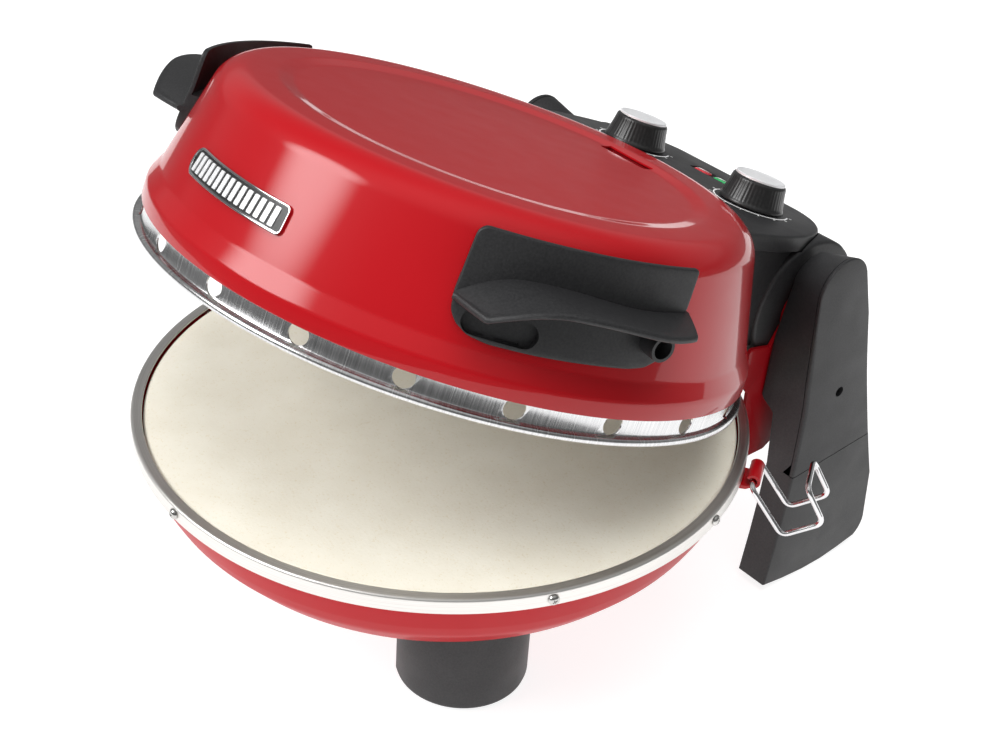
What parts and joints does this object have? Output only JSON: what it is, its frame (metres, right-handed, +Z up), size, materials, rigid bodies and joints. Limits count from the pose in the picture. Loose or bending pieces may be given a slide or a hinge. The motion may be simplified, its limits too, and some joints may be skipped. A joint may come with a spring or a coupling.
{
  "type": "countertop pizza oven",
  "caption": "Round countertop pizza oven: a red steel base with a baking stone, a hinged heated lid with handles, a rear control box with knobs, black rear legs and wire hooks.",
  "frame": {"origin": "centre of the bounding box in plan, on the worktop under the feet, with the lid as stored (part open)", "axes": "+Z up, +Y towards the hinge and control box at the rear, +X to the right of a user who faces the oven"},
  "size_m": [0.3518, 0.3889, 0.3052],
  "materials": {
    "red_enamel": "glossy baked red enamel on sheet steel",
    "steel": "brushed stainless sheet with rolled edges",
    "bright_steel": "bright plated steel",
    "stone": "matte cream fired stone, opaque",
    "black_plastic": "black moulded plastic with a fine grain",
    "rubber": "matte black rubber",
    "aluminium": "plain pressed aluminium sheet",
    "heater_metal": "dark oxidised tubular heater",
    "copper": "dull copper sensing bulb",
    "dark_steel": "dark zinc-plated steel",
    "silver_cap": "satin silver",
    "switch_body": "dull tan switch housing",
    "red_lens": "clear red",
    "green_lens": "clear green"
  },
  "bodies": {
    "base": {"base_pan": "red_enamel", "trim_ring": "steel", "trim_screw_front": "steel", "trim_screw_left_1": "steel", "trim_screw_left_2": "steel", "trim_screw_right_1": "steel", "trim_screw_right_2": "steel", "baking_stone": "stone", "stone_support_ring": "dark_steel", "lower_reflector": "aluminium", "lower_heater": "heater_metal", "lower_heater_clip_left": "aluminium", "lower_heater_clip_right": "aluminium", "front_foot_left": "black_plastic", "front_foot_right": "black_plastic", "front_foot_pad_left": "rubber", "front_foot_pad_right": "rubber", "foot_screw_left": "steel", "foot_screw_right": "steel", "arm_shell_left": "black_plastic", "arm_shell_right": "black_plastic", "arm_cover_left": "black_plastic", "arm_cover_right": "black_plastic", "arm_screw_left": "dark_steel", "arm_screw_right": "dark_steel", "hinge_bracket_left": "red_enamel", "hinge_bracket_right": "red_enamel", "hinge_pin_left": "bright_steel", "hinge_pin_right": "bright_steel", "cord_gland": "black_plastic", "hook_bracket_left": "red_enamel", "hook_bracket_right": "red_enamel"},
    "lid": {"lid_shell": "red_enamel", "lid_ring": "bright_steel", "badge_plate": "steel", "handle_left": "black_plastic", "handle_right": "black_plastic", "handle_screw_left": "dark_steel", "handle_screw_right": "dark_steel", "upper_reflector": "aluminium", "upper_heater": "heater_metal", "upper_heater_clip_left": "aluminium", "upper_heater_clip_right": "aluminium", "thermostat_bulb": "copper", "control_panel": "black_plastic", "control_housing": "black_plastic", "lens_red": "red_lens", "lens_green": "green_lens", "timer_body": "switch_body", "thermostat_body": "switch_body"},
    "timer_dial": {"timer_knob": "black_plastic", "timer_knob_cap": "silver_cap", "timer_shaft": "bright_steel"},
    "thermostat_dial": {"thermostat_knob": "black_plastic", "thermostat_knob_cap": "silver_cap", "thermostat_shaft": "bright_steel"},
    "hook_left": {"wire_hook_left": "bright_steel"},
    "hook_right": {"wire_hook_right": "bright_steel"}
  },
  "joints": [
    {"name": "lid_hinge", "type": "hinge", "parent": "base", "child": "lid", "pos_m": [0, 0.14075, 0.1624], "axis": [-1, 0, 0], "range_deg": [-19.9, 55]},
    {"name": "timer_turn", "type": "hinge", "parent": "lid", "child": "timer_dial", "pos_m": [-0.045, 0.13854, 0.21063], "axis": [0, -0.3404, -0.9403], "range_deg": [0, 300]},
    {"name": "thermostat_turn", "type": "hinge", "parent": "lid", "child": "thermostat_dial", "pos_m": [0.045, 0.13854, 0.21063], "axis": [0, -0.3404, -0.9403], "range_deg": [0, 270]},
    {"name": "hook_right_swing", "type": "hinge", "parent": "base", "child": "hook_right", "pos_m": [0.13721, 0.0602, 0.116], "axis": [0.5592, -0.829, 0], "range_deg": [-30, 60]},
    {"name": "hook_left_swing", "type": "hinge", "parent": "base", "child": "hook_left", "pos_m": [-0.13721, 0.0602, 0.116], "axis": [0.5592, 0.829, 0], "range_deg": [-30, 60]}
  ]
}
